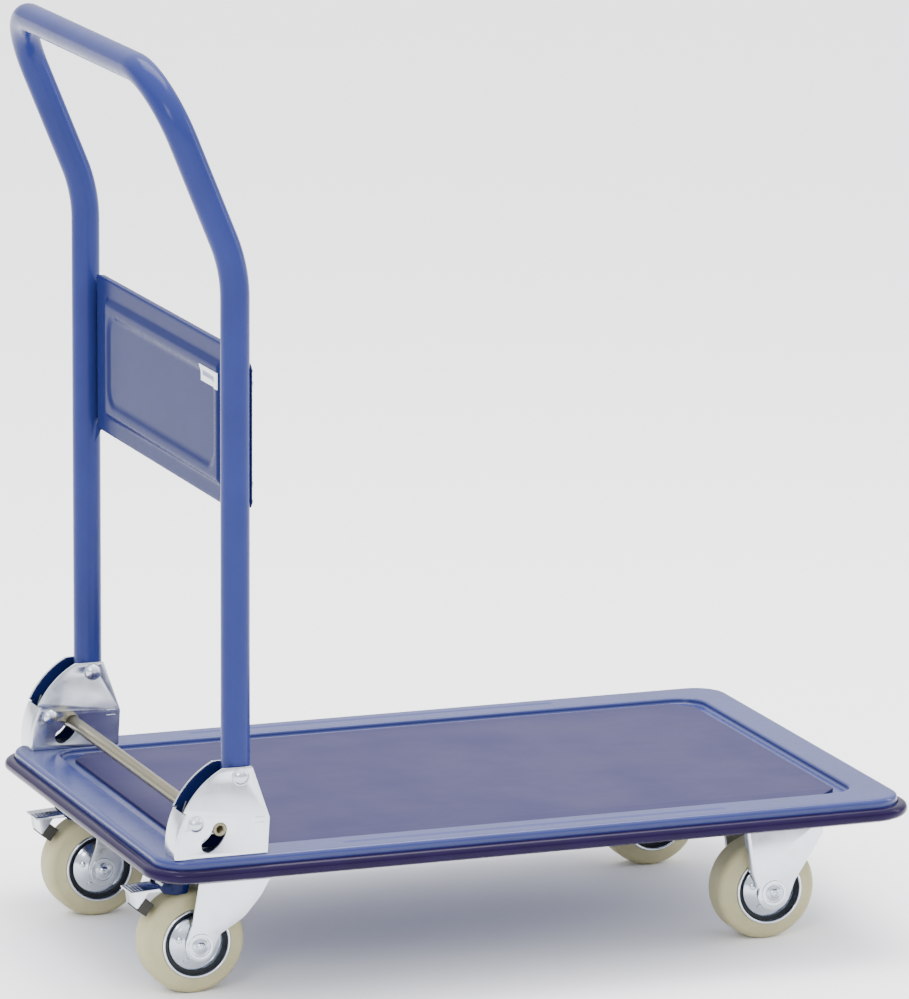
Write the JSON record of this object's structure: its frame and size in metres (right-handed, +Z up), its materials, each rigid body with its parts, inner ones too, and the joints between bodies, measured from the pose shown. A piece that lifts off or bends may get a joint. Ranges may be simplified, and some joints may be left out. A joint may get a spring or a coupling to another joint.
{
  "type": "folding platform cart",
  "caption": "Folding platform cart with a pressed steel deck, soft bumper, swivel casters with foot brakes and a tube handle that folds down over the deck.",
  "frame": {"origin": "on the floor under the middle of the deck", "axes": "+X from the handle end to the front end, +Y to the left when pushing, +Z up"},
  "size_m": [0.7724, 0.508, 0.8971],
  "materials": {
    "blue_enamel": "satin",
    "mat_vinyl": "matte",
    "bumper_vinyl": "satin",
    "zinc_sheet": "satin",
    "zinc_bright": "polished",
    "zinc_yellow": "satin",
    "spring_steel": "satin",
    "navy_enamel": "satin",
    "shoe_rubber": "matte",
    "tyre_rubber": "matte",
    "label_film": "satin"
  },
  "bodies": {
    "platform": {"deck_pan": "blue_enamel", "deck_mat": "mat_vinyl", "bumper": "bumper_vinyl", "channel_handle_end": "blue_enamel", "channel_front_end": "blue_enamel", "bracket_left": "zinc_sheet", "bracket_right": "zinc_sheet", "bracket_screws": "zinc_bright", "pivot_bolts": "zinc_bright", "spring_bolts": "zinc_bright", "torsion_springs": "spring_steel", "fixed_fork_left": "zinc_sheet", "fixed_fork_right": "zinc_sheet", "fixed_axle_left": "zinc_bright", "fixed_axle_right": "zinc_bright", "swivel_plate_left": "zinc_sheet", "swivel_plate_right": "zinc_sheet", "caster_bolts": "zinc_bright"},
    "handle": {"handle_tube": "blue_enamel", "handle_panel": "blue_enamel", "panel_screws": "zinc_bright", "label_sticker": "label_film", "pivot_sleeves": "zinc_bright"},
    "release_bar": {"release_tube": "zinc_yellow", "release_arms": "zinc_sheet"},
    "swivel_left": {"swivel_fork_left": "zinc_sheet", "race_balls_left": "spring_steel", "swivel_axle_left": "zinc_bright", "brake_housing_left": "navy_enamel"},
    "brake_left": {"brake_pedal_left": "zinc_sheet", "brake_shoe_left": "shoe_rubber"},
    "wheel_rear_left": {"tyre_rear_left": "tyre_rubber", "rim_rear_left": "zinc_sheet", "hub_rear_left": "zinc_bright"},
    "wheel_front_left": {"tyre_front_left": "tyre_rubber", "rim_front_left": "zinc_sheet", "hub_front_left": "zinc_bright"},
    "swivel_right": {"swivel_fork_right": "zinc_sheet", "race_balls_right": "spring_steel", "swivel_axle_right": "zinc_bright", "brake_housing_right": "navy_enamel"},
    "brake_right": {"brake_pedal_right": "zinc_sheet", "brake_shoe_right": "shoe_rubber"},
    "wheel_rear_right": {"tyre_rear_right": "tyre_rubber", "rim_rear_right": "zinc_sheet", "hub_rear_right": "zinc_bright"},
    "wheel_front_right": {"tyre_front_right": "tyre_rubber", "rim_front_right": "zinc_sheet", "hub_front_right": "zinc_bright"}
  },
  "joints": [
    {"name": "handle_fold", "type": "hinge", "parent": "platform", "child": "handle", "pos_m": [-0.2985, 0, 0.2265], "axis": [0, 1, 0], "range_deg": [0, 90]},
    {"name": "release_press", "type": "hinge", "parent": "platform", "child": "release_bar", "pos_m": [-0.3425, 0, 0.1845], "axis": [0, 1, 0], "range_deg": [0, 44], "stiffness_Nm_per_rad": 0.4, "springref_deg": -57.3},
    {"name": "swivel_turn_left", "type": "hinge", "parent": "platform", "child": "swivel_left", "pos_m": [-0.2835, 0.1475, 0.118], "axis": [0, 0, 1], "continuous": true},
    {"name": "wheel_spin_rear_left", "type": "hinge", "parent": "swivel_left", "child": "wheel_rear_left", "pos_m": [-0.3185, 0.1475, 0.05], "axis": [0, 1, 0], "continuous": true},
    {"name": "brake_press_left", "type": "hinge", "parent": "swivel_left", "child": "brake_left", "pos_m": [-0.3445, 0.1475, 0.105], "axis": [0, -1, 0], "range_deg": [0, 7]},
    {"name": "wheel_spin_front_left", "type": "hinge", "parent": "platform", "child": "wheel_front_left", "pos_m": [0.2645, 0.1475, 0.05], "axis": [0, 1, 0], "continuous": true},
    {"name": "swivel_turn_right", "type": "hinge", "parent": "platform", "child": "swivel_right", "pos_m": [-0.2835, -0.1475, 0.118], "axis": [0, 0, 1], "continuous": true},
    {"name": "wheel_spin_rear_right", "type": "hinge", "parent": "swivel_right", "child": "wheel_rear_right", "pos_m": [-0.3185, -0.1475, 0.05], "axis": [0, 1, 0], "continuous": true},
    {"name": "brake_press_right", "type": "hinge", "parent": "swivel_right", "child": "brake_right", "pos_m": [-0.3445, -0.1475, 0.105], "axis": [0, -1, 0], "range_deg": [0, 7]},
    {"name": "wheel_spin_front_right", "type": "hinge", "parent": "platform", "child": "wheel_front_right", "pos_m": [0.2645, -0.1475, 0.05], "axis": [0, 1, 0], "continuous": true}
  ]
}
